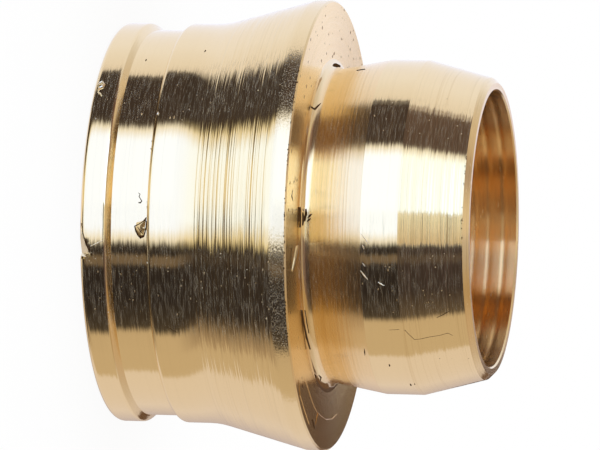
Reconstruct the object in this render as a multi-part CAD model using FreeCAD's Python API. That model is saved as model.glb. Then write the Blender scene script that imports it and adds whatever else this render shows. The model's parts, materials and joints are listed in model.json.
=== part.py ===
import FreeCAD, Part

import math
import os

# A one-piece reducing olive, turned from brass bar. It stands on its wide end: the origin is
# the centre of that end, and +Z is the turning axis, towards the nose.
# Lengths are in millimetres and angles in degrees.

# Tube and socket that the olive joins, with the room that each fit leaves across its diameter.
TUBE_DIAMETER = 15.0
TUBE_CLEARANCE = 0.1
SOCKET_DIAMETER = 22.0
SOCKET_CLEARANCE = 0.05

# Spigot, from the wide end up: collar, groove and land.
COLLAR_LENGTH = 1.37
COLLAR_CHAMFER = 0.2
GROOVE_DEPTH = 0.37
GROOVE_WALL_ANGLE = 52.0
GROOVE_FLOOR_LENGTH = 1.991
LAND_LENGTH = 2.05
LAND_CHAMFER = 0.16

# Flare that seals in the socket's seat, with the rim and the flat shoulder above it.
FLARE_ANGLE = 15.4
FLARE_RISE = 1.375
FLARE_ROOT_RADIUS = 4.5
FLARE_CROWN_RADIUS = 1.2
RIM_LENGTH = 0.88
RIM_CHAMFER = 0.06

# Nose that the nut closes on the tube: a cone that widens, a band and a cone that narrows.
# Each wall is the metal between the bore and the outside.
NOSE_ROOT_WALL = 0.96
NOSE_ROOT_FILLET = 0.53
NOSE_BACK_LENGTH = 3.39
BAND_WALL = 1.6
BAND_LENGTH = 2.03
NOSE_FRONT_LENGTH = 3.36
TIP_WALL = 0.71
TIP_CHAMFER = 0.3

# Bore, with a lead-in at each end and V-shaped grip rings inside the mouth.
ENTRY_CHAMFER = 0.4
MOUTH_CHAMFER = 0.08
RING_SETBACK = 0.41
RING_WIDTH = 0.36
RING_DEPTH = 0.06
RING_LAND = 0.48
RING_COUNT = 3

# Most of a straight side that the roundings at its two ends may use together.
ROUNDED_SHARE = 0.98

# Radii, from the fits and the walls.
bore_radius = (TUBE_DIAMETER + TUBE_CLEARANCE) / 2
spigot_radius = (SOCKET_DIAMETER - SOCKET_CLEARANCE) / 2
groove_radius = spigot_radius - GROOVE_DEPTH
rim_radius = spigot_radius + FLARE_RISE
nose_root_radius = bore_radius + NOSE_ROOT_WALL
band_radius = bore_radius + BAND_WALL
tip_radius = bore_radius + TIP_WALL

# Heights, each from the one below it.
groove_floor_start = COLLAR_LENGTH + GROOVE_DEPTH / math.tan(math.radians(GROOVE_WALL_ANGLE))
land_start = groove_floor_start + GROOVE_FLOOR_LENGTH
flare_start = land_start + LAND_LENGTH
rim_start = flare_start + FLARE_RISE / math.tan(math.radians(FLARE_ANGLE))
shoulder_height = rim_start + RIM_LENGTH
band_start = shoulder_height + NOSE_BACK_LENGTH
band_end = band_start + BAND_LENGTH
tip_start = band_end + NOSE_FRONT_LENGTH
tip_height = tip_start + TIP_CHAMFER


def section_point(radius, height):
    """A point of the half section, which lies in the XZ plane."""
    return FreeCAD.Vector(radius, 0, height)


def straight(start, end):
    return Part.LineSegment(start, end).toShape()


def half_angle(before, corner, after):
    return (before - corner).getAngle(after - corner) / 2


def side_fit(start, end, wanted):
    """The factor, at most 1, that fits the setbacks wanted at a side's two ends on that side."""
    room = ROUNDED_SHARE * start.distanceToPoint(end)
    return room / max(room, wanted)


def tangent_arc(before, corner, after, setback):
    """Start, middle and end of the arc that leaves both sides at the setback from the corner."""
    to_before = (before - corner).normalize()
    to_after = (after - corner).normalize()
    to_centre = (to_before + to_after).normalize()
    half = half_angle(before, corner, after)
    middle = corner + to_centre * setback * (1 / math.cos(half) - math.tan(half))
    return corner + to_before * setback, middle, corner + to_after * setback


def rounded_outline(corners):
    """Edges through corners of (radius, height, rounding), with arcs where rounding isn't 0."""
    points = [section_point(radius, height) for radius, height, rounding in corners]
    inner_corners = range(1, len(points) - 1)
    wanted = [0] * len(points)
    for index in inner_corners:
        rounding = corners[index][2]
        wanted[index] = rounding / math.tan(half_angle(*points[index - 1:index + 2]))
    fits = [
        side_fit(points[index], points[index + 1], wanted[index] + wanted[index + 1])
        for index in range(len(points) - 1)
    ]
    edges = []
    reached = points[0]
    for index in inner_corners:
        setback = wanted[index] * min(fits[index - 1], fits[index])
        if not setback:
            edges.append(straight(reached, points[index]))
            reached = points[index]
            continue
        arc_start, arc_middle, arc_end = tangent_arc(*points[index - 1:index + 2], setback)
        edges.append(straight(reached, arc_start))
        edges.append(Part.Arc(arc_start, arc_middle, arc_end).toShape())
        reached = arc_end
    edges.append(straight(reached, points[-1]))
    return edges


def outside_edges():
    """The half section from the foot of the entry chamfer, round the outside, to the mouth."""
    return rounded_outline([
        (bore_radius, ENTRY_CHAMFER, 0),
        (bore_radius + ENTRY_CHAMFER, 0, 0),
        (spigot_radius - COLLAR_CHAMFER, 0, 0),
        (spigot_radius, COLLAR_CHAMFER, 0),
        (spigot_radius, COLLAR_LENGTH, 0),
        (groove_radius, groove_floor_start, 0),
        (groove_radius, land_start, 0),
        (spigot_radius - LAND_CHAMFER, land_start, 0),
        (spigot_radius, land_start + LAND_CHAMFER, 0),
        (spigot_radius, flare_start, FLARE_ROOT_RADIUS),
        (rim_radius, rim_start, FLARE_CROWN_RADIUS),
        (rim_radius, shoulder_height - RIM_CHAMFER, 0),
        (rim_radius - RIM_CHAMFER, shoulder_height, 0),
        (nose_root_radius, shoulder_height, NOSE_ROOT_FILLET),
        (band_radius, band_start, 0),
        (band_radius, band_end, 0),
        (tip_radius, tip_start, 0),
        (tip_radius - TIP_CHAMFER, tip_height, 0),
        (bore_radius + MOUTH_CHAMFER, tip_height, 0),
        (bore_radius, tip_height - MOUTH_CHAMFER, 0),
    ])


def bore_edges():
    """The bore's wall from the mouth down, with its grip rings."""
    pitch = RING_WIDTH + RING_LAND
    first_ring = tip_height - MOUTH_CHAMFER - RING_SETBACK
    edges = []
    reached = section_point(bore_radius, tip_height - MOUTH_CHAMFER)
    for index in range(RING_COUNT):
        top = first_ring - index * pitch
        ring_start = section_point(bore_radius, top)
        ring_root = section_point(bore_radius + RING_DEPTH, top - RING_WIDTH / 2)
        ring_end = section_point(bore_radius, top - RING_WIDTH)
        edges.append(straight(reached, ring_start))
        edges.append(straight(ring_start, ring_root))
        edges.append(straight(ring_root, ring_end))
        reached = ring_end
    edges.append(straight(reached, section_point(bore_radius, ENTRY_CHAMFER)))
    return edges


def reducing_olive():
    half_section = Part.Face(Part.Wire(outside_edges() + bore_edges()))
    turning_axis = FreeCAD.Vector(0, 0, 1)
    return half_section.revolve(FreeCAD.Vector(0, 0, 0), turning_axis, 360)


os.makedirs("parts", exist_ok=True)
reducing_olive().exportStep("parts/reducing_olive.step")
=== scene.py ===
import json
import math
import random
from typing import NamedTuple

import bpy
from mathutils import Matrix, Vector


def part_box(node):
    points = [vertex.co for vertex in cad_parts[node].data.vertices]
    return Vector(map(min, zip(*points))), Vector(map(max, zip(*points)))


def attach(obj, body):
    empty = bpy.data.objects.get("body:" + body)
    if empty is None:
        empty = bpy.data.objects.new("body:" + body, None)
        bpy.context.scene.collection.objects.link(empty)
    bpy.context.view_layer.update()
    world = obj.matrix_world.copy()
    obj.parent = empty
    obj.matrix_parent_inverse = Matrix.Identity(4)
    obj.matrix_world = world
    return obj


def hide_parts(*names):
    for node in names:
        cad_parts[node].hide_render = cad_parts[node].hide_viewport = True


# Looks of a turned brass reducing olive that stands on its wide end. The object is one lathe
# mesh, turned about +Z from the half section below and marked by its wear.
# Lengths are in millimetres and angles in degrees, and METRE turns a length into Blender's unit.
# A bearing is measured round the turning axis: 0 faces the camera and 90 faces image up.

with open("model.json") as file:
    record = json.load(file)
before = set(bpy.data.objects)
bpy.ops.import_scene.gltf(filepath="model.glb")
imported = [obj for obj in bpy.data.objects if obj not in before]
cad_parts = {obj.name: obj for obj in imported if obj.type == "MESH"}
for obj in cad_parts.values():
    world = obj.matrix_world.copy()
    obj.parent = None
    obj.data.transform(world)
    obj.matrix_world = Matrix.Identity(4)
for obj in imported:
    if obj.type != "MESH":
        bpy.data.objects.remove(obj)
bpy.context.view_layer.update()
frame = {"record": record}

METRE = 0.001
NODE = "reducing_olive"
RANDOM_SEED = 15

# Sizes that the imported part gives.
mounts = {mount["name"]: mount for mount in frame["record"]["mounts"]}
node_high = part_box(NODE)[1]
BORE_RADIUS = mounts["tube_bore"]["dims"]["r_mm"]
SPIGOT_RADIUS = mounts["socket_spigot"]["dims"]["r_mm"]
SHOULDER_HEIGHT = mounts["nut_shoulder"]["pos_m"][2] / METRE
RIM_RADIUS = node_high.x / METRE
TIP_HEIGHT = node_high.z / METRE

# Half section of the spigot and the flare, from the wide end up.
ENTRY_CHAMFER = 0.4
END_EDGE_RADIUS = 0.3
COLLAR_LENGTH = 1.37
COLLAR_EDGE_RADIUS = 0.2
GROOVE_DEPTH = 0.37
GROOVE_WALL_LENGTH = 0.29
GROOVE_FLOOR_LENGTH = 1.99
LAND_EDGE_RADIUS = 0.25
FLARE_START = 5.70
FLARE_ROOT_RADIUS = 4.5
FLARE_CROWN_RADIUS = 1.2
RIM_LENGTH = 0.88
RIM_CHAMFER = 0.09

# Half section of the nose and of the grip rings in its mouth. Each wall is the metal between the
# bore and the outside.
NOSE_ROOT_WALL = 0.96
NOSE_ROOT_FILLET = 0.53
NOSE_BACK_LENGTH = 3.39
BAND_WALL = 1.6
BAND_LENGTH = 2.03
TIP_WALL = 0.71
TIP_CHAMFER = 0.3
MOUTH_CHAMFER = 0.08
RING_SETBACK = 0.40
RING_WIDTH = 0.50
RING_DEPTH = 0.026
RING_PITCH = 0.84
RING_COUNT = 3
RING_STEPS = 8

# Fineness of the lathe mesh. The side that carries the wear has the closer steps.
FINE_STEP = 0.18
COARSE_STEP = 0.6
ARC_STEP = 6.0
WORN_BEARING = 74.0
WORN_SEGMENTS = 236
PLAIN_SEGMENTS = 92
SHARP_ANGLE = 9.0

# Height from which the flare shows its tool marks, and how far up the nose's root is polished.
FLARE_MARKS_START = 6.16
NOSE_ROOT_POLISH = 0.26

# Depth of the marks that the tool left round the turned faces, and how far their phase wanders.
FEED_MARK_DEPTH = 0.0012
FEED_WANDER = 6.0

# Sizes across and along the tool marks: of long lines, of ruts, of the teeth in the zones' edges,
# and of short dashes.
LINE_SPACING = (0.08, 14.0)
RUT_SPACING = (0.055, 40.0)
TOOTH_SPACING = (0.075, 2.6)
DASH_SPACING = (0.055, 0.8)

# Detail and roughness of the noise that makes each of them.
LINE_NOISE = (2.0, 0.6)
RUT_NOISE = (0.0, 0.5)
TOOTH_NOISE = (2.0, 0.5)
DASH_NOISE = (1.0, 0.5)

# Values of the noise between which an effect sets in: a lean to either side, a rut, a dark line,
# haze, and the roughness of short flecks and of long streaks.
LEAN_LIMITS = (0.25, 0.75)
RUT_LIMITS = (0.56, 0.75)
DARK_LINE_LIMITS = (0.28, 0.46)
HAZE_LIMITS = (0.46, 0.70)
FLECK_LIMITS = (0.56, 0.80)
STREAK_LIMITS = (0.50, 0.75)

# Share of the lean along the marks that dashes add, the tint of the dark lines painted into the colour
# (partly the marks' own tone, partly painted shade for the darker reflections that tilted marks would show),
# the turn that lays highlights across the marks, and the roughness of scratches that scatter light.
DASH_LEAN_SHARE = 0.5
MARK_TONE_AND_PAINTED_SHADE_TINT = (0.62, 0.52, 0.38)
HIGHLIGHT_TURN = 0.25
HAZE_ROUGHNESS = 1.0

# Pits: the smallest as a share of the largest, how far out the soft edge begins, the slope of the
# wall, and the colour and the share of the dirt inside.
SMALLEST_PIT = 0.3
PIT_EDGE = 0.7
PIT_LEAN = 0.15
PIT_DIRT = (0.10, 0.05, 0.03)
PIT_DIRT_SHARE = 0.65

# Sines of the bearings where the two sides that reflect the dark flags begin and end, each as a soft step,
# and the paler tint of the haze laid on them. The haze goes by where the reflections are dark: partly real
# scuffing, partly painted sheen that lightens those sides.
DARK_REFLECTION_SINES = (((-0.56, -0.50), (-0.13, -0.09)), ((0.47, 0.53), (0.72, 0.78)))
SCUFF_AND_PAINTED_SHEEN_TINT = (0.97, 1.08, 1.35)

# Camera, from the outline of the photograph, which is taken as 600 by 450, and how near and how
# far it sees.
IMAGE_WIDTH = 600
FOCAL_PIXELS = 6570.77
SENSOR_WIDTH = 36.0
CAMERA_TURN = 11.58
CAMERA_ROLL = 1.10
CAMERA_DISTANCE = 360.45
RIM_OFFSET_RIGHT = 1.7138
RIM_OFFSET_DOWN = 0.0409
CLIP_START = 10.0
CLIP_END = 20000.0

# Studio that the metal reflects, as radiance. It changes with the bearing, and its flags and its
# softbox also change with the elevation. A pale ceiling is above it and a white floor below.
WHITE = (1.0, 1.0, 1.0)
BEHIND = 180.0
UPPER_WALL = (0.96, 1.00, 1.17)
UPPER_WALL_EDGE = (0.89, 0.88, 0.94)
BACK_WALL = (0.95, 0.90, 1.05)
STUDIO_TOP = (0.90, 0.84, 0.78)
TAN_CARD = (0.63, 0.53, 0.40)
LOWER_WALL = (0.82, 0.765, 0.78)
LIMB_WALL = (0.46, 0.36, 0.31)
FLOOR_ELEVATION = -78.0
FLAGS_END = 64.0
SURROUND_TOP = 88.0

# Bearings of the lower wall, the tan card, the strip and the upper wall's end, and the widths of
# the softer edges between them.
LOWER_WALL_BEARINGS = (-140.0, -101.0)
TAN_CARD_START = -98.0
STRIP_BEARINGS = (-26.0, -24.0, -20.0, -18.0)
UPPER_WALL_END = 174.0
LOWER_EDGE_HALF = 2.0
LOWER_GLOW_WIDTH = 22.0
UPPER_EDGE_WIDTH = 1.6
UPPER_WALL_RISE = 26.0
FRINGE_CORE = 0.35

# Shade between the flags and the floor, by bearing, and the elevations that it lies between.
UNDER_SHADE = (
    (-BEHIND, LIMB_WALL),
    (-132.0, LOWER_WALL),
    (-116.0, TAN_CARD),
    (-100.0, (0.05, 0.04, 0.03)),
    (-16.0, (0.04, 0.028, 0.018)),
    (2.0, (0.13, 0.095, 0.05)),
    (18.0, (0.80, 0.68, 0.38)),
    (42.0, (0.85, 0.74, 0.44)),
    (62.0, (0.07, 0.05, 0.03)),
    (126.0, (0.07, 0.05, 0.03)),
    (132.0, UPPER_WALL_EDGE),
    (150.0, UPPER_WALL),
    (BEHIND, BACK_WALL),
)
SHADE_ELEVATIONS = (-71.0, -51.0)

# Body of the camera in front of the softbox. From the bottom up it is dark, lit, dark, glaring and
# pale, and each edge gives the elevations over which one changes to the next.
CAMERA_BODY = ((-12.0, (0.88, 0.76, 0.58)), (10.5, (1.16, 1.24, 1.22)))
CAMERA_GLARE = (1.34, 1.68, 2.05)
CAMERA_SHADE = (0.06, 0.04, 0.025)
CAMERA_TOP = (0.80, 0.72, 0.56)
CAMERA_EDGES = ((14.5, 16.5), (22.5, 25.0), (27.0, 28.5), (35.0, 37.0))
CAMERA_BODY_BEARINGS = (-12.0, 10.5)
CAMERA_BODY_ELEVATIONS = (-4.0, 58.0)

# Cards behind and below the object, and a small flag close behind it. The flag's low and high
# corners are (x, z).
BACK_CARD = (
    (178.0, (0.42, 0.30, 0.20)),
    (186.0, (0.16, 0.11, 0.08)),
)
BACK_CARD_BEARINGS = (150.0, 210.0)
BACK_CARD_ELEVATIONS = (27.0, 58.0)
LIMB_CARD = (0.15, 0.085, 0.05)
LIMB_CARD_BEARINGS = (-176.0, -156.0)
LIMB_CARD_ELEVATIONS = (3.0, 26.0)
BACK_FLAG = (0.10, 0.065, 0.050)
BACK_FLAG_LOW = (7.6, 12.5)
BACK_FLAG_HIGH = (16.0, 30.0)
BACK_FLAG_DISTANCE = 40.0

# Distances of the studio's sheets, and their steps across and up in degrees.
SURROUND_DISTANCE = 700.0
CARD_DISTANCE = 600.0
SURROUND_STEPS = (1.0, 3.0)
CAMERA_STEPS = (4.0, 1.0)
CARD_STEPS = (4.0, 4.0)

# Floor: its reach to each side, its glow to the rays that see it, and its paint.
FLOOR_REACH = 4000.0
FLOOR_GLOW = 0.9
FLOOR_PAINT = (0.1, 0.1, 0.1)


class Level(NamedTuple):
    """The studio's brightness at one elevation: a softbox with its foot, top, pale edge and fringe,
    a dark flag above and below it, the glow and the strip that the lower flag lets through, and the
    tint of the walls beyond the flags."""

    elevation: float
    softbox: tuple
    foot: float
    top: float
    edge: tuple
    fringe: float
    upper_flag: tuple
    upper_edge: float
    lower_flag: tuple
    lower_glow: tuple
    lower_edge: float
    strip: tuple
    walls: tuple


LEVELS = (
    Level(
        elevation=-44.0, softbox=(1.16, 1.43, 2.00), foot=-16.5, top=63.5,
        edge=(0.92, 0.86, 0.62), fringe=18.0, upper_flag=(0.060, 0.050, 0.052), upper_edge=100.0,
        lower_flag=(0.036, 0.030, 0.031), lower_glow=(0.38, 0.29, 0.21), lower_edge=-81.0,
        strip=(0.050, 0.041, 0.040), walls=WHITE,
    ),
    Level(
        elevation=-12.0, softbox=(1.11, 1.42, 2.38), foot=-13.5, top=59.5,
        edge=(1.02, 1.08, 1.20), fringe=10.0, upper_flag=(0.046, 0.038, 0.040), upper_edge=96.3,
        lower_flag=(0.026, 0.022, 0.024), lower_glow=(0.060, 0.050, 0.042), lower_edge=-66.5,
        strip=(0.20, 0.16, 0.125), walls=WHITE,
    ),
    Level(
        elevation=5.0, softbox=(1.80, 2.20, 2.80), foot=-13.5, top=58.7,
        edge=(1.00, 1.06, 1.15), fringe=9.0, upper_flag=(0.16, 0.11, 0.10), upper_edge=92.0,
        lower_flag=(0.038, 0.032, 0.034), lower_glow=(0.095, 0.078, 0.064), lower_edge=-66.8,
        strip=(0.145, 0.118, 0.098), walls=WHITE,
    ),
    Level(
        elevation=20.0, softbox=(1.02, 1.27, 1.75), foot=-13.5, top=58.0,
        edge=(1.00, 1.05, 1.10), fringe=8.0, upper_flag=(0.086, 0.070, 0.072), upper_edge=88.0,
        lower_flag=(0.050, 0.041, 0.044), lower_glow=(0.13, 0.105, 0.085), lower_edge=-67.0,
        strip=(0.09, 0.075, 0.07), walls=WHITE,
    ),
    Level(
        elevation=31.0, softbox=(1.52, 2.28, 4.50), foot=-13.5, top=58.0,
        edge=(1.00, 0.95, 0.90), fringe=8.0, upper_flag=(0.190, 0.110, 0.095), upper_edge=91.0,
        lower_flag=(0.105, 0.069, 0.090), lower_glow=(0.16, 0.105, 0.10), lower_edge=-64.5,
        strip=(0.105, 0.069, 0.090), walls=(0.82, 0.78, 0.70),
    ),
    Level(
        elevation=39.0, softbox=(1.60, 2.35, 4.30), foot=-13.5, top=58.0,
        edge=(1.00, 0.95, 0.90), fringe=8.0, upper_flag=(0.20, 0.125, 0.105), upper_edge=91.0,
        lower_flag=(0.10, 0.068, 0.070), lower_glow=(0.14, 0.10, 0.09), lower_edge=-62.5,
        strip=(0.10, 0.068, 0.070), walls=(0.76, 0.68, 0.56),
    ),
    Level(
        elevation=46.0, softbox=(0.66, 0.52, 0.30), foot=-13.5, top=58.0,
        edge=(0.66, 0.52, 0.30), fringe=9.0, upper_flag=(0.36, 0.27, 0.24), upper_edge=91.0,
        lower_flag=(0.22, 0.16, 0.14), lower_glow=(0.22, 0.16, 0.14), lower_edge=-62.5,
        strip=(0.22, 0.16, 0.14), walls=(0.76, 0.64, 0.46),
    ),
)

# Finishes, in the order of the mesh's materials. Some faces carry the marks of the feed, and some
# slivers are left faceted.
POLISHED, FLARED, RIMMED, WIDENED, TAPERED, FACED, BORED, CUT, DARK, BRIGHT, BURR = range(11)
FEED_MARKED = (FLARED, WIDENED, TAPERED)
FACETED = (BRIGHT, BURR)

# Nick that a knock left in the wide end's edge: how high it reaches at each bearing, and how far
# it cuts in for each millimetre below that.
NICK_REACH = ((-10.6, 0.0), (-9.4, 0.62), (-1.6, 0.0))
NICK_SLOPE = 1.0

# Slivers of wear and of painted shadow: points across a sliver, and how far its edges sink into the face.
SLIVER_ACROSS = 4
SLIVER_SINK = 0.012


class Sliver(NamedTuple):
    """A scratch's raised edge, a burr, a bit of swarf, or a dark strip of painted shadow. Its stations are
    (bearing, place, width), where place is the height, or the radius if it lies on the flat shoulder."""

    finish: int
    rise: float
    stations: tuple
    flat: bool = False
    crumple: float = 0.0


SLIVERS = (
    # Collar: a dark ridge and a bright line beside the nick, a curl of swarf and a stroke below it.
    Sliver(DARK, 0.03, (
        (-0.6, 0.10, 0.03), (-4.0, 0.24, 0.07), (-7.0, 0.44, 0.09), (-9.6, 0.66, 0.05),
    )),
    Sliver(BRIGHT, 0.03, ((-7.0, 0.62, 0.04), (-6.2, 0.98, 0.09), (-5.3, 1.30, 0.04))),
    Sliver(BRIGHT, 0.12, (
        (41.5, 0.24, 0.09), (42.7, 0.30, 0.17), (43.1, 0.42, 0.18), (42.3, 0.53, 0.18),
        (41.3, 0.48, 0.16), (40.8, 0.35, 0.15), (40.0, 0.29, 0.08),
    )),
    Sliver(BRIGHT, 0.07, ((39.4, 0.30, 0.08), (38.8, 0.42, 0.16), (38.1, 0.54, 0.06))),
    # Groove and land: a crumpled flake against the step, with dark slivers round it as its painted shadow, a
    # dark curl, beads, a dot and a scratch.
    Sliver(BURR, 0.07, (
        (1.3, 3.58, 0.08), (0.3, 3.50, 0.20), (-0.9, 3.28, 0.62), (-1.8, 3.26, 0.66),
        (-2.8, 3.29, 0.56), (-3.8, 3.34, 0.40), (-4.6, 3.36, 0.16),
    ), crumple=0.9),
    # Painted shadow: dark slivers along the flake's edges stand in for its shadow, not for swarf.
    Sliver(DARK, 0.09, (
        (1.4, 3.60, 0.05), (0.2, 3.44, 0.09), (-0.6, 3.20, 0.08), (-1.2, 2.96, 0.05),
    ), crumple=0.5),
    Sliver(DARK, 0.08, (
        (-1.1, 2.95, 0.05), (-2.5, 3.02, 0.09), (-3.8, 3.14, 0.08), (-4.8, 3.30, 0.05),
    ), crumple=0.5),
    Sliver(DARK, 0.09, (
        (-4.7, 3.28, 0.05), (-4.2, 3.46, 0.08), (-2.0, 3.58, 0.08), (0.4, 3.61, 0.05),
    ), crumple=0.5),
    Sliver(DARK, 0.10, ((-1.4, 3.12, 0.03), (-2.6, 3.28, 0.07), (-3.4, 3.42, 0.03)), crumple=0.5),
    Sliver(DARK, 0.02, (
        (8.5, 3.11, 0.04), (8.1, 3.20, 0.06), (7.4, 3.15, 0.06), (6.7, 3.24, 0.06),
        (6.1, 3.31, 0.08), (5.6, 3.24, 0.11), (5.6, 3.13, 0.06),
    )),
    Sliver(BRIGHT, 0.06, ((33.6, 2.83, 0.05), (33.3, 2.83, 0.11), (33.0, 2.83, 0.05))),
    Sliver(BRIGHT, 0.08, ((32.6, 3.82, 0.06), (32.2, 3.84, 0.15), (31.8, 3.82, 0.06))),
    Sliver(BRIGHT, 0.05, ((31.2, 4.52, 0.04), (30.9, 4.52, 0.09), (30.6, 4.52, 0.04))),
    Sliver(BRIGHT, 0.05, ((31.4, 4.74, 0.04), (31.0, 4.74, 0.09), (30.6, 4.74, 0.04))),
    Sliver(DARK, 0.02, ((56.5, 2.33, 0.05), (56.0, 2.34, 0.12), (55.5, 2.33, 0.05))),
    Sliver(DARK, 0.02, ((58.5, 5.58, 0.05), (58.0, 5.60, 0.13), (57.5, 5.58, 0.05))),
    Sliver(DARK, 0.012, ((-30.1, 4.37, 0.02), (-31.2, 4.74, 0.04), (-32.6, 5.15, 0.02))),
    # Root of the nose: swarf packed in the fillet, with chips above and below it.
    Sliver(DARK, 0.07, ((6.2, 11.62, 0.07), (2.9, 11.65, 0.16), (-0.8, 11.66, 0.06)), crumple=0.5),
    Sliver(DARK, 0.08, ((5.8, 11.89, 0.09), (4.0, 11.91, 0.18), (1.4, 11.86, 0.08)), crumple=0.5),
    Sliver(DARK, 0.07, ((4.5, 11.75, 0.08), (2.2, 11.79, 0.20), (-0.1, 11.77, 0.08)), crumple=0.5),
    Sliver(DARK, 0.07, ((4.1, 12.22, 0.06), (3.4, 12.11, 0.15), (2.6, 12.01, 0.07)), crumple=0.4),
    Sliver(DARK, 0.07, ((2.5, 12.16, 0.06), (1.9, 12.06, 0.14), (1.3, 11.97, 0.07)), crumple=0.4),
    Sliver(BRIGHT, 0.05, ((5.8, 11.74, 0.05), (5.4, 11.77, 0.10), (5.0, 11.79, 0.05))),
    Sliver(BRIGHT, 0.05, ((-0.5, 12.05, 0.04), (-2.0, 12.03, 0.09), (-3.6, 12.00, 0.04))),
    Sliver(DARK, 0.05, (
        (45.6, 11.61, 0.08), (45.8, 11.76, 0.16), (48.0, 11.87, 0.12), (49.8, 11.97, 0.05),
    ), crumple=0.6),
    Sliver(DARK, 0.06, (
        (84.0, 11.70, 0.14), (87.0, 11.72, 0.40), (92.0, 11.70, 0.46), (97.0, 11.66, 0.20),
    ), crumple=0.6),
    Sliver(DARK, 0.03, ((73.4, 13.32, 0.03), (73.6, 13.56, 0.08), (73.2, 13.80, 0.03))),
    Sliver(DARK, 0.05, (
        (-30.6, 11.60, 0.08), (-35.9, 11.61, 0.13), (-42.7, 11.64, 0.16), (-49.2, 11.69, 0.09),
    )),
    Sliver(DARK, 0.04, ((-31.4, 11.72, 0.05), (-37.0, 11.74, 0.08), (-41.6, 11.76, 0.05))),
    Sliver(DARK, 0.04, ((-64.4, 11.60, 0.05), (-65.6, 11.60, 0.14), (-67.0, 11.59, 0.05)), crumple=0.5),
    Sliver(DARK, 0.04, ((-67.7, 11.71, 0.05), (-71.0, 11.74, 0.13), (-72.8, 11.66, 0.05)), crumple=0.5),
    # Shoulder: a shiny flake with a dark line beside it, pits and pale strands.
    Sliver(BRIGHT, 0.08, (
        (-7.2, 9.20, 0.20), (-8.2, 9.45, 0.62), (-10.8, 10.0, 0.48), (-13.1, 10.7, 0.18),
    ), flat=True, crumple=0.4),
    Sliver(DARK, 0.02, ((-6.6, 10.80, 0.04), (-9.2, 10.95, 0.12), (-12.0, 11.16, 0.04)), flat=True),
    Sliver(DARK, 0.02, ((3.2, 9.16, 0.04), (1.8, 9.22, 0.10), (0.6, 9.24, 0.04)), flat=True),
    Sliver(DARK, 0.015, ((9.9, 10.80, 0.10), (8.1, 10.97, 0.42), (7.0, 10.61, 0.10)), flat=True, crumple=0.5),
    Sliver(DARK, 0.015, ((11.4, 11.6, 0.08), (11.0, 11.62, 0.26), (10.6, 11.6, 0.08)), flat=True),
    Sliver(DARK, 0.015, ((12.9, 10.6, 0.08), (12.5, 10.6, 0.30), (12.1, 10.6, 0.08)), flat=True),
    Sliver(DARK, 0.015, ((4.3, 11.7, 0.06), (3.9, 11.7, 0.24), (3.5, 11.7, 0.06)), flat=True),
    Sliver(DARK, 0.015, ((3.9, 10.6, 0.06), (3.6, 10.6, 0.24), (3.3, 10.6, 0.06)), flat=True),
    Sliver(DARK, 0.015, ((14.6, 9.87, 0.05), (14.1, 9.87, 0.20), (13.6, 9.87, 0.05)), flat=True),
    Sliver(DARK, 0.03, (
        (-68.1, 11.37, 0.12), (-70.0, 11.46, 0.36), (-72.1, 11.57, 0.14),
    ), flat=True, crumple=0.4),
    Sliver(BURR, 0.02, (
        (-50.7, 10.56, 0.03), (-57.8, 10.39, 0.06), (-63.4, 10.45, 0.07), (-68.7, 10.52, 0.06),
        (-73.7, 10.57, 0.06), (-80.0, 10.55, 0.05), (-87.7, 10.63, 0.06), (-96.7, 10.71, 0.04),
        (-104.3, 10.72, 0.02),
    ), flat=True),
    Sliver(BURR, 0.02, ((-75.3, 10.55, 0.03), (-73.7, 10.91, 0.06), (-73.0, 11.29, 0.03)), flat=True),
    Sliver(BURR, 0.02, (
        (-45.6, 11.63, 0.02), (-50.0, 11.92, 0.05), (-58.2, 11.84, 0.05), (-64.7, 11.89, 0.02),
    ), flat=True),
    # Nose: a wavy hairline, a scratch, bright scratches on the band, and dots.
    Sliver(DARK, 0.012, (
        (-37.2, 16.30, 0.02), (-36.9, 16.80, 0.035), (-37.3, 17.16, 0.045), (-39.2, 17.32, 0.045),
        (-42.0, 17.58, 0.045), (-42.2, 17.87, 0.04), (-41.9, 18.40, 0.04), (-41.9, 18.92, 0.035),
        (-41.4, 19.35, 0.045), (-42.9, 19.57, 0.03),
    )),
    Sliver(DARK, 0.02, ((-33.8, 18.86, 0.03), (-32.9, 19.21, 0.07), (-31.6, 19.55, 0.04))),
    Sliver(BRIGHT, 0.03, ((-2.4, 15.02, 0.03), (-4.4, 15.28, 0.07), (-6.0, 15.47, 0.03))),
    Sliver(BRIGHT, 0.03, ((-6.3, 15.10, 0.03), (-6.9, 15.15, 0.09), (-7.5, 15.19, 0.03))),
    Sliver(BRIGHT, 0.03, ((-15.0, 14.98, 0.04), (-16.6, 15.16, 0.12), (-18.1, 15.36, 0.03))),
    Sliver(BRIGHT, 0.03, ((-18.9, 15.91, 0.04), (-19.5, 16.06, 0.11), (-20.1, 16.24, 0.03))),
    Sliver(BRIGHT, 0.02, ((-12.4, 15.10, 0.02), (-12.9, 15.16, 0.06), (-13.5, 15.24, 0.02))),
    Sliver(BRIGHT, 0.03, ((-14.2, 16.48, 0.03), (-14.6, 16.48, 0.07), (-15.0, 16.48, 0.03))),
    Sliver(DARK, 0.02, ((-54.0, 15.98, 0.05), (-54.7, 15.98, 0.13), (-55.4, 15.98, 0.05))),
    Sliver(DARK, 0.02, ((-68.0, 16.78, 0.05), (-69.0, 16.80, 0.15), (-70.0, 16.78, 0.05))),
    Sliver(DARK, 0.02, ((-67.8, 17.02, 0.03), (-68.3, 17.03, 0.09), (-68.8, 17.02, 0.03))),
    Sliver(DARK, 0.02, ((-46.4, 14.77, 0.04), (-48.0, 14.76, 0.10), (-49.7, 14.74, 0.04))),
)
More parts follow.
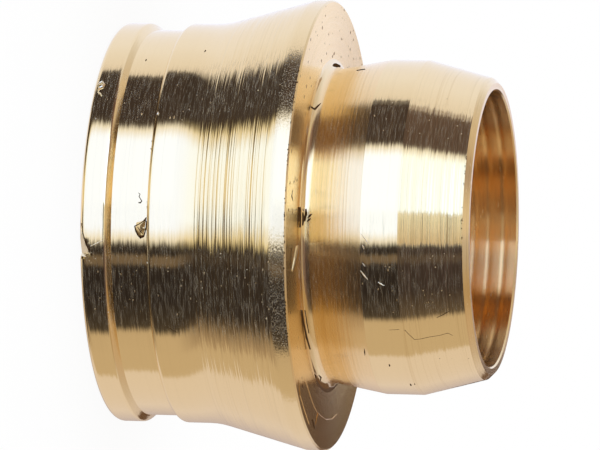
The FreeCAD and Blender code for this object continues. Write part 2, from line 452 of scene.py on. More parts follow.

# Small slivers scattered at random: their finish, how many, the bearings and the heights that they lie
# between, and the largest width. Dark burrs sit on edges, and bright dust on the two sides that reflect the
# dark flags.
SCATTERED = (
    (DARK, 46, (-32.0, 42.0), (SHOULDER_HEIGHT - 0.10, SHOULDER_HEIGHT - 0.05), 0.11),
    (DARK, 30, (-14.0, 30.0), (TIP_HEIGHT - 0.35, TIP_HEIGHT - 0.30), 0.10),
    (DARK, 16, (2.0, 34.0), (3.59, 3.65), 0.07),
    (BRIGHT, 60, (-27.0, -7.0), (0.3, 11.0), 0.10),
    (BRIGHT, 24, (30.0, 46.0), (0.3, 11.0), 0.09),
    (BRIGHT, 22, (-30.0, -9.0), (15.0, 20.0), 0.10),
    (BRIGHT, 14, (32.0, 48.0), (15.0, 20.0), 0.10),
)

# Half the sweep of a scattered sliver, its width as a share of the largest, and how many times its
# ends and its rise go into its width.
SCATTERED_HALF_SWEEP = (0.1, 0.3)
SCATTERED_WIDTHS = (0.3, 1.0)
SCATTERED_TAPER = 3
SCATTERED_FLATNESS = 4


def scattered_slivers(chooser):
    slivers = []
    for finish, count, bearing_range, height_range, largest in SCATTERED:
        for index in range(count):
            bearing = chooser.uniform(*bearing_range)
            height = chooser.uniform(*height_range)
            half = chooser.uniform(*SCATTERED_HALF_SWEEP)
            width = chooser.uniform(*SCATTERED_WIDTHS) * largest
            ends = width / SCATTERED_TAPER
            stations = (
                (bearing + half, height, ends),
                (bearing, height, width),
                (bearing - half, height, ends),
            )
            slivers.append(Sliver(finish, width / SCATTERED_FLATNESS, stations))
    return slivers


def straight_points(start, end, step):
    """Points along a side, without its last one."""
    count = max(1, math.ceil((end - start).length / step))
    return [start.lerp(end, index / count) for index in range(count)]


def corner_arc(before, corner, after, radius):
    """Points of the arc that rounds a corner, from the side before it to the side after it."""
    to_before = (before - corner).normalized()
    to_after = (after - corner).normalized()
    half = to_before.angle(to_after) / 2
    setback = radius / math.tan(half)
    start = corner + to_before * setback
    centre = corner + (to_before + to_after).normalized() * (radius / math.sin(half))
    sweep = (start - centre).angle_signed(corner + to_after * setback - centre)
    count = max(2, math.ceil(math.degrees(abs(sweep)) / ARC_STEP))
    spoke = start - centre
    return [
        centre + Matrix.Rotation(-sweep * index / count, 2) @ spoke for index in range(count + 1)
    ]


def half_section():
    """The closed half section as (point, finish), where finish is that of the face after it."""
    groove_radius = SPIGOT_RADIUS - GROOVE_DEPTH
    floor_start = COLLAR_LENGTH + GROOVE_WALL_LENGTH
    floor_end = floor_start + GROOVE_FLOOR_LENGTH
    rim_start = SHOULDER_HEIGHT - RIM_LENGTH
    band_radius = BORE_RADIUS + BAND_WALL
    band_start = SHOULDER_HEIGHT + NOSE_BACK_LENGTH
    tip_radius = BORE_RADIUS + TIP_WALL
    mouth = TIP_HEIGHT - MOUTH_CHAMFER
    corners = [
        (BORE_RADIUS, ENTRY_CHAMFER, 0, CUT),
        (BORE_RADIUS + ENTRY_CHAMFER, 0, 0, CUT),
        (SPIGOT_RADIUS, 0, END_EDGE_RADIUS, POLISHED),
        (SPIGOT_RADIUS, COLLAR_LENGTH, COLLAR_EDGE_RADIUS, POLISHED),
        (groove_radius, floor_start, 0, POLISHED),
        (groove_radius, floor_end, 0, POLISHED),
        (SPIGOT_RADIUS, floor_end, LAND_EDGE_RADIUS, POLISHED),
        (SPIGOT_RADIUS, FLARE_START, FLARE_ROOT_RADIUS, FLARED),
        (RIM_RADIUS, rim_start, FLARE_CROWN_RADIUS, FLARED),
        (RIM_RADIUS, SHOULDER_HEIGHT - RIM_CHAMFER, 0, CUT),
        (RIM_RADIUS - RIM_CHAMFER, SHOULDER_HEIGHT, 0, FACED),
        (BORE_RADIUS + NOSE_ROOT_WALL, SHOULDER_HEIGHT, NOSE_ROOT_FILLET, WIDENED),
        (band_radius, band_start, 0, POLISHED),
        (band_radius, band_start + BAND_LENGTH, 0, TAPERED),
        (tip_radius, TIP_HEIGHT - TIP_CHAMFER, 0, CUT),
        (tip_radius - TIP_CHAMFER, TIP_HEIGHT, 0, CUT),
        (BORE_RADIUS + MOUTH_CHAMFER, TIP_HEIGHT, 0, CUT),
        (BORE_RADIUS, mouth, 0, BORED),
    ]
    for index in range(RING_COUNT):
        top = mouth - RING_SETBACK - index * RING_PITCH
        for step in range(RING_STEPS + 1):
            share = step / RING_STEPS
            depth = RING_DEPTH * (1 - math.cos(math.tau * share)) / 2
            corners.append((BORE_RADIUS + depth, top - RING_WIDTH * share, 0, BORED))
    places = [Vector((radius, height)) for radius, height, rounding, finish in corners]
    section = []
    reached = places[0]
    side_finish = CUT
    for index, (radius, height, rounding, finish) in enumerate(corners):
        after = places[(index + 1) % len(places)]
        if rounding:
            arc = corner_arc(places[index - 1], places[index], after, rounding)
        else:
            arc = [places[index]]
        if index:
            section += [(point, side_finish) for point in straight_points(reached, arc[0], FINE_STEP)]
        section += [(point, finish) for point in arc[:-1]]
        reached = arc[-1]
        side_finish = finish
    section += [(point, BORED) for point in straight_points(reached, places[0], COARSE_STEP)]
    return section


def face_finish(finish, height):
    """The finish of a face. The flare's foot and the nose's root are polished, and the flare's top
    is the rim."""
    flare_foot = finish == FLARED and height < FLARE_MARKS_START
    nose_root = finish == WIDENED and height < SHOULDER_HEIGHT + NOSE_ROOT_POLISH
    if finish == FLARED and height > SHOULDER_HEIGHT - RIM_LENGTH:
        return RIMMED
    return POLISHED if flare_foot or nose_root else finish


def bearings():
    """The lathe's bearings in turn, closer together on the worn side."""
    worn = [
        -WORN_BEARING + 2 * WORN_BEARING * index / WORN_SEGMENTS for index in range(WORN_SEGMENTS)
    ]
    plain_sweep = 360 - 2 * WORN_BEARING
    plain = [
        WORN_BEARING + plain_sweep * index / PLAIN_SEGMENTS for index in range(PLAIN_SEGMENTS)
    ]
    return [math.radians(bearing) for bearing in worn + plain]


def turned_place(radius, height, bearing):
    return Vector((-radius * math.sin(bearing), -radius * math.cos(bearing), height))


def nick_reach(bearing):
    """The height that the nick reaches at a bearing."""
    turn = math.degrees(bearing)
    for (low, low_reach), (high, high_reach) in zip(NICK_REACH, NICK_REACH[1:]):
        if low <= turn < high:
            return low_reach + (high_reach - low_reach) * (turn - low) / (high - low)
    return 0.0


def nicked_radius(radius, height, bearing):
    """The radius that the nick leaves at a place."""
    below = nick_reach(bearing) - height
    return min(radius, SPIGOT_RADIUS - below * NICK_SLOPE) if below > 0 else radius


def skin(section, bearing, place, flat):
    """A point of the outside, and the direction that the face looks in there."""
    turn = math.radians(bearing)
    if flat:
        return turned_place(place, SHOULDER_HEIGHT, turn), Vector((0, 0, 1))
    points = [point for point, finish in section]
    for low, high in zip(points, points[1:]):
        if low.y <= place < high.y:
            slope = (high - low).normalized()
            radius = low.x + (high.x - low.x) * (place - low.y) / (high.y - low.y)
            return turned_place(radius, place, turn), turned_place(slope.y, -slope.x, turn)
    raise ValueError(place)


def sliver_mesh(section, sliver, chooser):
    """Vertices and faces of a small closed sliver that lies along its stations."""
    widths = [width for bearing, place, width in sliver.stations]
    seats = [skin(section, bearing, place, sliver.flat) for bearing, place, width in sliver.stations]
    ring = SLIVER_ACROSS + 2
    vertices = []
    for index, (point, normal) in enumerate(seats):
        before = seats[max(index - 1, 0)][0]
        after = seats[min(index + 1, len(seats) - 1)][0]
        side = normal.cross(after - before).normalized()
        for step in range(SLIVER_ACROSS + 1):
            share = 2 * step / SLIVER_ACROSS - 1
            bulge = 1 - share * share
            rise = sliver.rise * bulge * chooser.uniform(1 - sliver.crumple, 1)
            lift = rise - SLIVER_SINK * (1 - bulge)
            vertices.append(point + side * (share * widths[index] / 2) + normal * lift)
        vertices.append(point - normal * (2 * SLIVER_SINK))
    faces = [tuple(range(ring)), tuple(range(len(vertices) - 1, len(vertices) - ring - 1, -1))]
    for start in range(0, len(vertices) - ring, ring):
        for corner in range(ring):
            after = (corner + 1) % ring
            faces.append((start + corner, start + ring + corner, start + ring + after, start + after))
    return vertices, faces


def lathe_mesh(name):
    """The turned solid as one closed mesh, with a material index for each finish."""
    chooser = random.Random(RANDOM_SEED)
    section = half_section()
    turns = bearings()
    vertices = []
    for point, finish in section:
        radius = point.x
        if face_finish(finish, point.y) in FEED_MARKED:
            radius += chooser.uniform(-FEED_MARK_DEPTH, FEED_MARK_DEPTH)
        for bearing in turns:
            left = nicked_radius(radius, point.y, bearing)
            vertices.append(turned_place(left, point.y, bearing) * METRE)
    faces = []
    finishes = []
    for row, (point, finish) in enumerate(section):
        next_row = (row + 1) % len(section)
        middle = (point.y + section[next_row][0].y) / 2
        for column in range(len(turns)):
            next_column = (column + 1) % len(turns)
            faces.append((
                row * len(turns) + column,
                next_row * len(turns) + column,
                next_row * len(turns) + next_column,
                row * len(turns) + next_column,
            ))
            in_nick = nick_reach(turns[column]) > middle > 0
            outside = point.x > BORE_RADIUS + ENTRY_CHAMFER
            finishes.append(BRIGHT if in_nick and outside else face_finish(finish, middle))
    for sliver in (*SLIVERS, *scattered_slivers(chooser)):
        sliver_vertices, sliver_faces = sliver_mesh(section, sliver, chooser)
        first = len(vertices)
        vertices += [vertex * METRE for vertex in sliver_vertices]
        faces += [tuple(first + corner for corner in face) for face in sliver_faces]
        finishes += [sliver.finish] * len(sliver_faces)
    mesh = bpy.data.meshes.new(name)
    mesh.from_pydata(vertices, [], faces)
    mesh.polygons.foreach_set("material_index", finishes)
    mesh.polygons.foreach_set("use_smooth", [finish not in FACETED for finish in finishes])
    mesh.set_sharp_from_angle(angle=math.radians(SHARP_ANGLE))
    mesh.validate()
    mesh.update()
    return mesh


class Graph:
    """Adds nodes to a material or world and links them as they are made. A mix node has its two
    colours and their result at the sockets named here."""

    MIX_COLOURS = (6, 7)
    MIX_RESULT = 2

    def __init__(self, owner):
        owner.use_nodes = True
        self.tree = owner.node_tree
        self.tree.nodes.clear()

    def add(self, kind, inputs, **settings):
        node = self.tree.nodes.new(kind)
        for name, value in settings.items():
            setattr(node, name, value)
        for name, value in inputs.items():
            if isinstance(value, bpy.types.NodeSocket):
                self.tree.links.new(value, node.inputs[name])
            else:
                node.inputs[name].default_value = value
        return node

    def math(self, operation, first, second=0.0):
        return self.add("ShaderNodeMath", {0: first, 1: second}, operation=operation).outputs[0]

    def vector(self, operation, **inputs):
        places = {"first": 0, "second": 1, "scale": "Scale"}
        named = {places[name]: value for name, value in inputs.items()}
        return self.add("ShaderNodeVectorMath", named, operation=operation).outputs[0]

    def between(self, value, low, high, new_low, new_high):
        """The value moved from one range to another, and held inside it."""
        inputs = {
            "Value": value,
            "From Min": low,
            "From Max": high,
            "To Min": new_low,
            "To Max": new_high,
        }
        return self.add("ShaderNodeMapRange", inputs).outputs["Result"]

    def noise(self, place, detail, roughness):
        inputs = {"Vector": place, "Scale": 1.0, "Detail": detail, "Roughness": roughness}
        return self.add("ShaderNodeTexNoise", inputs).outputs[0]

    def mixed(self, share, first, second):
        """The first colour where share is 0 and the second where it is 1."""
        node = self.add("ShaderNodeMix", {"Factor": share}, data_type="RGBA")
        for place, value in zip(self.MIX_COLOURS, (first, second)):
            if isinstance(value, bpy.types.NodeSocket):
                self.tree.links.new(value, node.inputs[place])
            else:
                node.inputs[place].default_value = (*value, 1.0)
        return node.outputs[self.MIX_RESULT]


def ring_place(graph, parts, across, along):
    """Noise coordinates that change fast across the tool marks and slowly along them."""
    x, y, travel = parts
    inputs = {
        "X": graph.math("DIVIDE", x, along * METRE),
        "Y": graph.math("DIVIDE", y, along * METRE),
        "Z": graph.math("DIVIDE", travel, across * METRE),
    }
    return graph.add("ShaderNodeCombineXYZ", inputs).outputs[0]


def pits(graph, parts, spacing, size, share):
    """1 in small scattered pits, which the given share of the cells of that spacing hold."""
    inputs = {"Vector": ring_place(graph, parts, spacing, spacing), "Scale": 1.0}
    cells = graph.add("ShaderNodeTexVoronoi", inputs).outputs
    chance = graph.add("ShaderNodeSeparateColor", {"Color": cells["Color"]}).outputs
    held = graph.math("LESS_THAN", chance[0], share)
    reach = graph.between(chance[1], 0.0, 1.0, size * SMALLEST_PIT / spacing, size / spacing)
    way_out = graph.math("DIVIDE", cells["Distance"], reach)
    return graph.math("MULTIPLY", held, graph.between(way_out, PIT_EDGE, 1.0, 1.0, 0.0))


class Finish(NamedTuple):
    """How a turned face looks. Flecks is the roughness that short scratches add and streaks that of long
    ones, and haze is the share of light that a rough pale layer scatters on the two sides that reflect the
    dark flags: partly real scuffing, partly painted sheen. The normal leans, in degrees, across the tool
    marks at ruts, along and across them by noise, and across them by the feed, whose pitch is a length. Shade
    is the depth of the dark lines painted into the colour, partly the marks' own tone and partly painted
    shade, pits is (spacing, size, share), and dashes and teeth have sizes across and along the marks. Tint is
    painted light: it makes lighter and darker copies of the one brass by how light falls on each face,
    brighter on the faced shoulder and more orange in the bore. The marks of a faced surface lie by radius and
    those of the others by height."""

    name: str
    roughness: float
    flecks: float
    streaks: float
    haze: float
    ruts: float
    anisotropy: float
    along: float
    across: float
    feed: float
    pitch: float
    shade: float
    pits: tuple
    dashes: tuple = DASH_SPACING
    teeth: tuple = TOOTH_SPACING
    tint: tuple = WHITE
    faced: bool = False


FINISHES = (
    Finish(
        "polished_brass", roughness=0.11, flecks=0.06, streaks=0.03, haze=0.26, ruts=0.0, anisotropy=0.80,
        along=0.7, across=1.0, feed=0.0, pitch=1.0, shade=0.05, pits=(0.8, 0.05, 0.05),
    ),
    Finish(
        "flared_brass", roughness=0.11, flecks=0.06, streaks=0.03, haze=0.34, ruts=-8.5, anisotropy=0.80,
        along=1.8, across=1.2, feed=1.0, pitch=0.27, shade=0.15, pits=(0.7, 0.05, 0.08),
    ),
    Finish(
        "rimmed_brass", roughness=0.18, flecks=0.06, streaks=0.00, haze=0.60, ruts=0.0, anisotropy=0.60,
        along=1.6, across=1.0, feed=0.0, pitch=1.0, shade=0.05, pits=(0.7, 0.05, 0.05),
        dashes=(0.06, 0.08), teeth=(0.06, 0.08),
    ),
    Finish(
        "widened_brass", roughness=0.21, flecks=0.06, streaks=0.03, haze=0.16, ruts=-3.0, anisotropy=0.90,
        along=0.8, across=2.2, feed=1.0, pitch=0.22, shade=0.18, pits=(0.7, 0.05, 0.06),
        tint=(1.01, 0.98, 0.97),
    ),
    Finish(
        "tapered_brass", roughness=0.12, flecks=0.06, streaks=0.03, haze=0.22, ruts=-3.5, anisotropy=0.80,
        along=0.8, across=2.4, feed=1.2, pitch=0.16, shade=0.25, pits=(0.7, 0.05, 0.08),
    ),
    Finish(
        "faced_brass", roughness=0.22, flecks=0.04, streaks=0.00, haze=0.00, ruts=0.0, anisotropy=0.88,
        along=0.8, across=2.5, feed=0.0, pitch=1.0, shade=0.20, pits=(0.5, 0.16, 0.5),
        dashes=(0.10, 0.14), tint=(1.13, 1.09, 0.88), faced=True,
    ),
    Finish(
        "bored_brass", roughness=0.22, flecks=0.06, streaks=0.00, haze=0.00, ruts=0.0, anisotropy=1.00,
        along=0.6, across=1.5, feed=0.0, pitch=1.0, shade=0.30, pits=(0.7, 0.05, 0.12),
        tint=(1.05, 0.94, 0.80),
    ),
    Finish(
        "cut_brass", roughness=0.20, flecks=0.10, streaks=0.00, haze=0.00, ruts=0.0, anisotropy=0.60,
        along=1.0, across=2.0, feed=0.0, pitch=1.0, shade=0.30, pits=(0.6, 0.06, 0.2),
        faced=True,
    ),
)

# Materials of the DARK, BRIGHT and BURR slivers, the dark one also for painted shadow: name, colour,
# metallic, roughness and specular.
WEAR_AND_PAINTED_SHADOW = (
    ("dark_swarf_and_painted_shadow", (0.070, 0.036, 0.016), 0.0, 0.65, 0.0),
    ("bright_swarf", (0.98, 0.86, 0.62), 1.0, 0.34, 0.5),
    ("burr_brass", (0.78, 0.50, 0.20), 1.0, 0.25, 0.5),
)


class Marks(NamedTuple):
    """What a finish's tool marks are made from: the way across them, the four kinds of noise, and
    the pits."""

    travel: bpy.types.NodeSocket
    lines: bpy.types.NodeSocket
    ruts: bpy.types.NodeSocket
    teeth: bpy.types.NodeSocket
    dashes: bpy.types.NodeSocket
    pitted: bpy.types.NodeSocket


def tool_marks(graph, finish, parts):
    return Marks(
        parts[-1],
        graph.noise(ring_place(graph, parts, *LINE_SPACING), *LINE_NOISE),
        graph.noise(ring_place(graph, parts, *RUT_SPACING), *RUT_NOISE),
        graph.noise(ring_place(graph, parts, *finish.teeth), *TOOTH_NOISE),
        graph.noise(ring_place(graph, parts, *finish.dashes), *DASH_NOISE),
        pits(graph, parts, *finish.pits),
    )


def lean_along(graph, finish, marks):
    """How far the normal leans along the tool marks."""
    lean = math.tan(math.radians(finish.along))
    dash_lean = lean * DASH_LEAN_SHARE
    return graph.math(
        "ADD",
        graph.between(marks.teeth, *LEAN_LIMITS, -lean, lean),
        graph.between(marks.dashes, *LEAN_LIMITS, -dash_lean, dash_lean),
    )


def lean_across(graph, finish, marks):
    """How far the normal leans across the tool marks."""
    lean = math.tan(math.radians(finish.across))
    feed_lean = math.tan(math.radians(finish.feed))
    rut_lean = math.tan(math.radians(finish.ruts))
    turns = graph.math("MULTIPLY", marks.travel, math.tau / (finish.pitch * METRE))
    phase = graph.math("ADD", turns, graph.math("MULTIPLY", marks.lines, FEED_WANDER))
    leaned = graph.between(marks.lines, *LEAN_LIMITS, -lean, lean)
    for added in (
        graph.math("MULTIPLY", graph.math("SINE", phase), feed_lean),
        graph.between(marks.ruts, *RUT_LIMITS, 0.0, rut_lean),
        graph.math("MULTIPLY", marks.pitted, PIT_LEAN),
    ):
        leaned = graph.math("ADD", leaned, added)
    return leaned


def leaned_normal(graph, finish, marks, tangent):
    normal = graph.add("ShaderNodeNewGeometry", {}).outputs["Normal"]
    axial = graph.vector("CROSS_PRODUCT", first=normal, second=tangent)
    leaned = normal
    for direction, lean in (
        (tangent, lean_along(graph, finish, marks)),
        (axial, lean_across(graph, finish, marks)),
    ):
        step = graph.vector("SCALE", first=direction, scale=lean)
        leaned = graph.vector("ADD", first=leaned, second=step)
    return graph.vector("NORMALIZE", first=leaned)


def dark_reflection_sides(graph, side):
    """1 on the two sides that reflect the dark flags and 0 elsewhere, where side is the sine of the bearing.
    The haze laid there is partly real scuffing and partly painted sheen.
    """
    scuffed = 0.0
    for (start, risen), (falling, end) in DARK_REFLECTION_SINES:
        begun = graph.between(side, start, risen, 0.0, 1.0)
        ended = graph.between(side, falling, end, 0.0, 1.0)
        scuffed = graph.math("ADD", scuffed, graph.math("SUBTRACT", begun, ended))
    return scuffed


def brass(finish):
    """The material of a finish."""
    material = bpy.data.materials.new(finish.name)
    graph = Graph(material)
    place = graph.add("ShaderNodeTexCoord", {}).outputs["Object"]
    x, y, z = graph.add("ShaderNodeSeparateXYZ", {"Vector": place}).outputs
    squares = graph.math("ADD", graph.math("MULTIPLY", x, x), graph.math("MULTIPLY", y, y))
    radius = graph.math("SQRT", squares)
    side = graph.math("DIVIDE", graph.math("MULTIPLY", x, -1.0), radius)
    marks = tool_marks(graph, finish, (x, y, radius if finish.faced else z))
    tangent = graph.add("ShaderNodeTangent", {}, direction_type="RADIAL", axis="Z").outputs[0]

    # The finish's tint is painted light: lighter and darker copies of the one brass, brighter on the faced
    # shoulder and more orange in the bore, by how light falls there.
    clean = frame["record"]["materials"][0]["base_color"]
    base = tinted(clean, finish.tint)
    # Dark lines painted into the colour: partly the tool marks' own tone, partly painted shade for the darker
    # reflections that tilted marks would show.
    mark_tone_and_painted_shade = graph.between(marks.lines, *DARK_LINE_LIMITS, finish.shade, 0.0)
    scratched = graph.math(
        "ADD",
        graph.between(marks.dashes, *FLECK_LIMITS, 0.0, finish.flecks),
        graph.between(marks.lines, *STREAK_LIMITS, 0.0, finish.streaks),
    )
    metal = graph.add("ShaderNodeBsdfPrincipled", {
        "Base Color": graph.mixed(mark_tone_and_painted_shade, base, tinted(base, MARK_TONE_AND_PAINTED_SHADE_TINT)),
        "Metallic": 1.0,
        "Roughness": graph.math("ADD", scratched, finish.roughness),
        "Anisotropic": finish.anisotropy,
        "Anisotropic Rotation": HIGHLIGHT_TURN,
        "Tangent": tangent,
        "Normal": leaned_normal(graph, finish, marks, tangent),
    })
    scattering = graph.add("ShaderNodeBsdfPrincipled", {
        "Base Color": (*tinted(clean, SCUFF_AND_PAINTED_SHEEN_TINT), 1.0),
        "Metallic": 1.0,
        "Roughness": HAZE_ROUGHNESS,
    })
    dirt = graph.add("ShaderNodeBsdfPrincipled", {
        "Base Color": (*PIT_DIRT, 1.0),
        "Roughness": 1.0,
        "Specular IOR Level": 0.0,
    })
    streaked = graph.between(marks.dashes, *HAZE_LIMITS, 0.0, finish.haze)
    surface = metal.outputs[0]
    # A rough pale layer on the two sides that reflect the dark flags, partly real scuffing and partly painted
    # sheen, and then dirt in the pits.
    for share, layer in (
        (graph.math("MULTIPLY", dark_reflection_sides(graph, side), streaked), scattering),
        (graph.math("MULTIPLY", marks.pitted, PIT_DIRT_SHARE), dirt),
    ):
        inputs = {0: share, 1: surface, 2: layer.outputs[0]}
        surface = graph.add("ShaderNodeMixShader", inputs).outputs[0]
    graph.add("ShaderNodeOutputMaterial", {"Surface": surface})
    return material


def wear_and_shadow_material(name, colour, metallic, roughness, specular):
    material = bpy.data.materials.new(name)
    graph = Graph(material)
    shader = graph.add("ShaderNodeBsdfPrincipled", {
        "Base Color": (*colour, 1.0),
        "Metallic": metallic,
        "Roughness": roughness,
        "Specular IOR Level": specular,
    })
    graph.add("ShaderNodeOutputMaterial", {"Surface": shader.outputs[0]})
    return material


def tinted(colour, tint):
    return tuple(part * share for part, share in zip(colour, tint))


def studio_direction(bearing, elevation):
    turn = math.radians(bearing)
    lift = math.radians(elevation)
    return Vector((-math.sin(turn) * math.cos(lift), -math.cos(turn) * math.cos(lift), math.sin(lift)))


def steps(low, high, step):
    """Even steps from low to high, each at most the given one."""
    count = math.ceil((high - low) / step)
    return [low + (high - low) * index / count for index in range(count + 1)]


def glowing_object(name, mesh, colour=None):
    """Puts a mesh in the studio as a light that only reflections show. Its colour is the given one,
    or else the radiance at its vertices."""
    material = bpy.data.materials.new(name)
    graph = Graph(material)
    if colour is None:
        shown = graph.add("ShaderNodeAttribute", {}, attribute_name="radiance").outputs["Color"]
    else:
        shown = (*colour, 1.0)
    light = graph.add("ShaderNodeEmission", {"Color": shown, "Strength": 1.0})
    graph.add("ShaderNodeOutputMaterial", {"Surface": light.outputs[0]})
    mesh.materials.append(material)
    sheet = bpy.data.objects.new(name, mesh)
    bpy.context.scene.collection.objects.link(sheet)
    sheet.visible_camera = False
    sheet.visible_diffuse = False
    sheet.visible_shadow = False


def glowing_sheet(name, bearing_range, elevation_range, fineness, radiance_at, distance):
    """A curved sheet round the object, with steps of the given fineness across and up."""
    step_across, step_up = fineness
    bearings_across = steps(*bearing_range, step_across)
    elevations_up = steps(*elevation_range, step_up)
    places = [(bearing, elevation) for elevation in elevations_up for bearing in bearings_across]
    vertices = [studio_direction(*place) * distance * METRE for place in places]
    width = len(bearings_across)
    faces = [
        (start + column, start + column + 1, start + width + column + 1, start + width + column)
        for start in range(0, len(vertices) - width, width)
        for column in range(width - 1)
    ]
    mesh = bpy.data.meshes.new(name)
    mesh.from_pydata(vertices, [], faces)
    glow = mesh.color_attributes.new("radiance", "FLOAT_COLOR", "POINT")
    glow.data.foreach_set("color", [part for place in places for part in (*radiance_at(*place), 1.0)])
    glowing_object(name, mesh)


def blended(stops, position):
    """The colour at a position among sorted stops of (position, colour)."""
    for (low, low_colour), (high, high_colour) in zip(stops, stops[1:]):
        if position <= high:
            share = max(0.0, (position - low) / (high - low))
            return tuple(a + (b - a) * share for a, b in zip(low_colour, high_colour))
    return stops[-1][1]


def level_stops(level):
    """Stops of (bearing, radiance) round the studio at one level."""
    core = level.fringe * FRINGE_CORE
    tan_card = tinted(TAN_CARD, level.walls)
    lower_wall = tinted(LOWER_WALL, level.walls)
    upper_wall = tinted(UPPER_WALL, level.walls)
    wall_start, wall_end = LOWER_WALL_BEARINGS
    strip_start, strip_risen, strip_falling, strip_end = STRIP_BEARINGS
    return (
        (-BEHIND, LIMB_WALL),
        (wall_start, lower_wall),
        (wall_end, lower_wall),
        (TAN_CARD_START, tan_card),
        (level.lower_edge - LOWER_EDGE_HALF, tan_card),
        (level.lower_edge + LOWER_EDGE_HALF, level.lower_glow),
        (level.lower_edge + LOWER_GLOW_WIDTH, level.lower_flag),
        (strip_start, level.lower_flag),
        (strip_risen, level.strip),
        (strip_falling, level.strip),
        (strip_end, level.lower_flag),
        (level.foot, level.lower_flag),
        (level.foot + core, level.edge),
        (level.foot + level.fringe, level.softbox),
        (level.top - level.fringe, level.softbox),
        (level.top - core, level.edge),
        (level.top, level.upper_flag),
        (level.upper_edge, level.upper_flag),
        (level.upper_edge + UPPER_EDGE_WIDTH, tinted(UPPER_WALL_EDGE, level.walls)),
        (level.upper_edge + UPPER_WALL_RISE, upper_wall),
        (UPPER_WALL_END, upper_wall),
        (BEHIND, BACK_WALL),
    )


def surround_radiance(bearing, elevation):
    levels = [(level.elevation, blended(level_stops(level), bearing)) for level in LEVELS]
    shade = blended(UNDER_SHADE, bearing)
    shade_low, shade_high = SHADE_ELEVATIONS
    stops = [
        (FLOOR_ELEVATION, WHITE),
        (shade_low, shade),
        (shade_high, shade),
        *levels,
        (FLAGS_END, levels[-1][1]),
        (SURROUND_TOP, STUDIO_TOP),
    ]
    return blended(stops, elevation)


def camera_radiance(bearing, elevation):
    lit = blended(CAMERA_BODY, bearing)
    bands = (CAMERA_SHADE, lit, CAMERA_SHADE, CAMERA_GLARE, CAMERA_TOP)
    stops = []
    for (start, end), below, above in zip(CAMERA_EDGES, bands, bands[1:]):
        stops += [(start, below), (end, above)]
    return blended(stops, elevation)


def back_card_radiance(bearing, elevation):
    return blended(BACK_CARD, bearing)


def limb_card_radiance(bearing, elevation):
    return LIMB_CARD


def build_olive():
    mesh = lathe_mesh("brass_olive")
    for finish in FINISHES:
        mesh.materials.append(brass(finish))
    for wear in WEAR_AND_PAINTED_SHADOW:
        mesh.materials.append(wear_and_shadow_material(*wear))
    olive = bpy.data.objects.new("brass_olive", mesh)
    bpy.context.scene.collection.objects.link(olive)
    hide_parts(NODE)
    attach(olive, "root")


def build_studio():
    world = bpy.data.worlds.new("studio")
    bpy.context.scene.world = world
    graph = Graph(world)
    sky = graph.add("ShaderNodeBackground", {"Color": (*WHITE, 1.0), "Strength": 1.0})
    graph.add("ShaderNodeOutputWorld", {"Surface": sky.outputs[0]})
    glowing_sheet(
        "surround", (-BEHIND, BEHIND), (FLOOR_ELEVATION, SURROUND_TOP), SURROUND_STEPS,
        surround_radiance, SURROUND_DISTANCE,
    )
    glowing_sheet(
        "camera_body", CAMERA_BODY_BEARINGS, CAMERA_BODY_ELEVATIONS, CAMERA_STEPS,
        camera_radiance, CARD_DISTANCE,
    )
    glowing_sheet(
        "back_card", BACK_CARD_BEARINGS, BACK_CARD_ELEVATIONS, CARD_STEPS,
        back_card_radiance, CARD_DISTANCE,
    )
    glowing_sheet(
        "limb_card", LIMB_CARD_BEARINGS, LIMB_CARD_ELEVATIONS, CARD_STEPS,
        limb_card_radiance, CARD_DISTANCE,
    )
    build_back_flag()


def build_back_flag():
    """A small dark flag behind the object, which darkens one side of the shoulder."""
    (low_x, low_z), (high_x, high_z) = BACK_FLAG_LOW, BACK_FLAG_HIGH
    corners = [(low_x, low_z), (high_x, low_z), (high_x, high_z), (low_x, high_z)]
    vertices = [Vector((x, BACK_FLAG_DISTANCE, z)) * METRE for x, z in corners]
    mesh = bpy.data.meshes.new("back_flag")
    mesh.from_pydata(vertices, [], [(0, 1, 2, 3)])
    glowing_object("back_flag", mesh, BACK_FLAG)


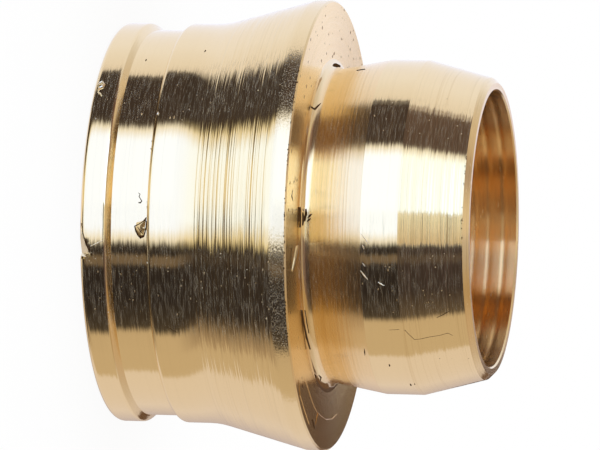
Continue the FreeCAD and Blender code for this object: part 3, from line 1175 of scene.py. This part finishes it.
def build_floor():
    size = FLOOR_REACH * METRE
    mesh = bpy.data.meshes.new("floor")
    corners = [(-size, -size, 0), (size, -size, 0), (size, size, 0), (-size, size, 0)]
    mesh.from_pydata(corners, [], [(0, 1, 2, 3)])
    material = bpy.data.materials.new("white_floor")
    graph = Graph(material)
    ray = graph.add("ShaderNodeLightPath", {}).outputs
    seen = graph.math(
        "MAXIMUM",
        ray["Is Camera Ray"],
        graph.math("MAXIMUM", ray["Is Glossy Ray"], ray["Is Transmission Ray"]),
    )
    strength = graph.math("MULTIPLY", seen, FLOOR_GLOW)
    glow = graph.add("ShaderNodeEmission", {"Color": (*WHITE, 1.0), "Strength": strength})
    paint = graph.add("ShaderNodeBsdfDiffuse", {"Color": (*FLOOR_PAINT, 1.0)})
    surface = graph.add("ShaderNodeAddShader", {0: glow.outputs[0], 1: paint.outputs[0]})
    graph.add("ShaderNodeOutputMaterial", {"Surface": surface.outputs[0]})
    mesh.materials.append(material)
    floor = bpy.data.objects.new("floor", mesh)
    bpy.context.scene.collection.objects.link(floor)
    floor.visible_glossy = False


def build_camera():
    turn = math.radians(CAMERA_TURN)
    roll = math.radians(CAMERA_ROLL)
    back = Vector((0, -math.cos(turn), math.sin(turn)))
    level_right = Vector((0, math.sin(turn), math.cos(turn)))
    level_up = back.cross(level_right)
    right = math.cos(roll) * level_right + math.sin(roll) * level_up
    up = math.cos(roll) * level_up - math.sin(roll) * level_right
    rim_centre = Vector((0, 0, SHOULDER_HEIGHT))
    place = rim_centre - RIM_OFFSET_RIGHT * right + RIM_OFFSET_DOWN * up + CAMERA_DISTANCE * back
    data = bpy.data.cameras.new("camera")
    data.sensor_width = SENSOR_WIDTH
    data.lens = FOCAL_PIXELS * SENSOR_WIDTH / IMAGE_WIDTH
    data.clip_start = CLIP_START * METRE
    data.clip_end = CLIP_END * METRE
    camera = bpy.data.objects.new("camera", data)
    bpy.context.scene.collection.objects.link(camera)
    axes = Matrix((right, up, back)).transposed()
    camera.matrix_world = Matrix.Translation(place * METRE) @ axes.to_4x4()
    bpy.context.scene.camera = camera


build_olive()
build_studio()
build_floor()
build_camera()
bpy.context.scene.view_settings.view_transform = "Standard"
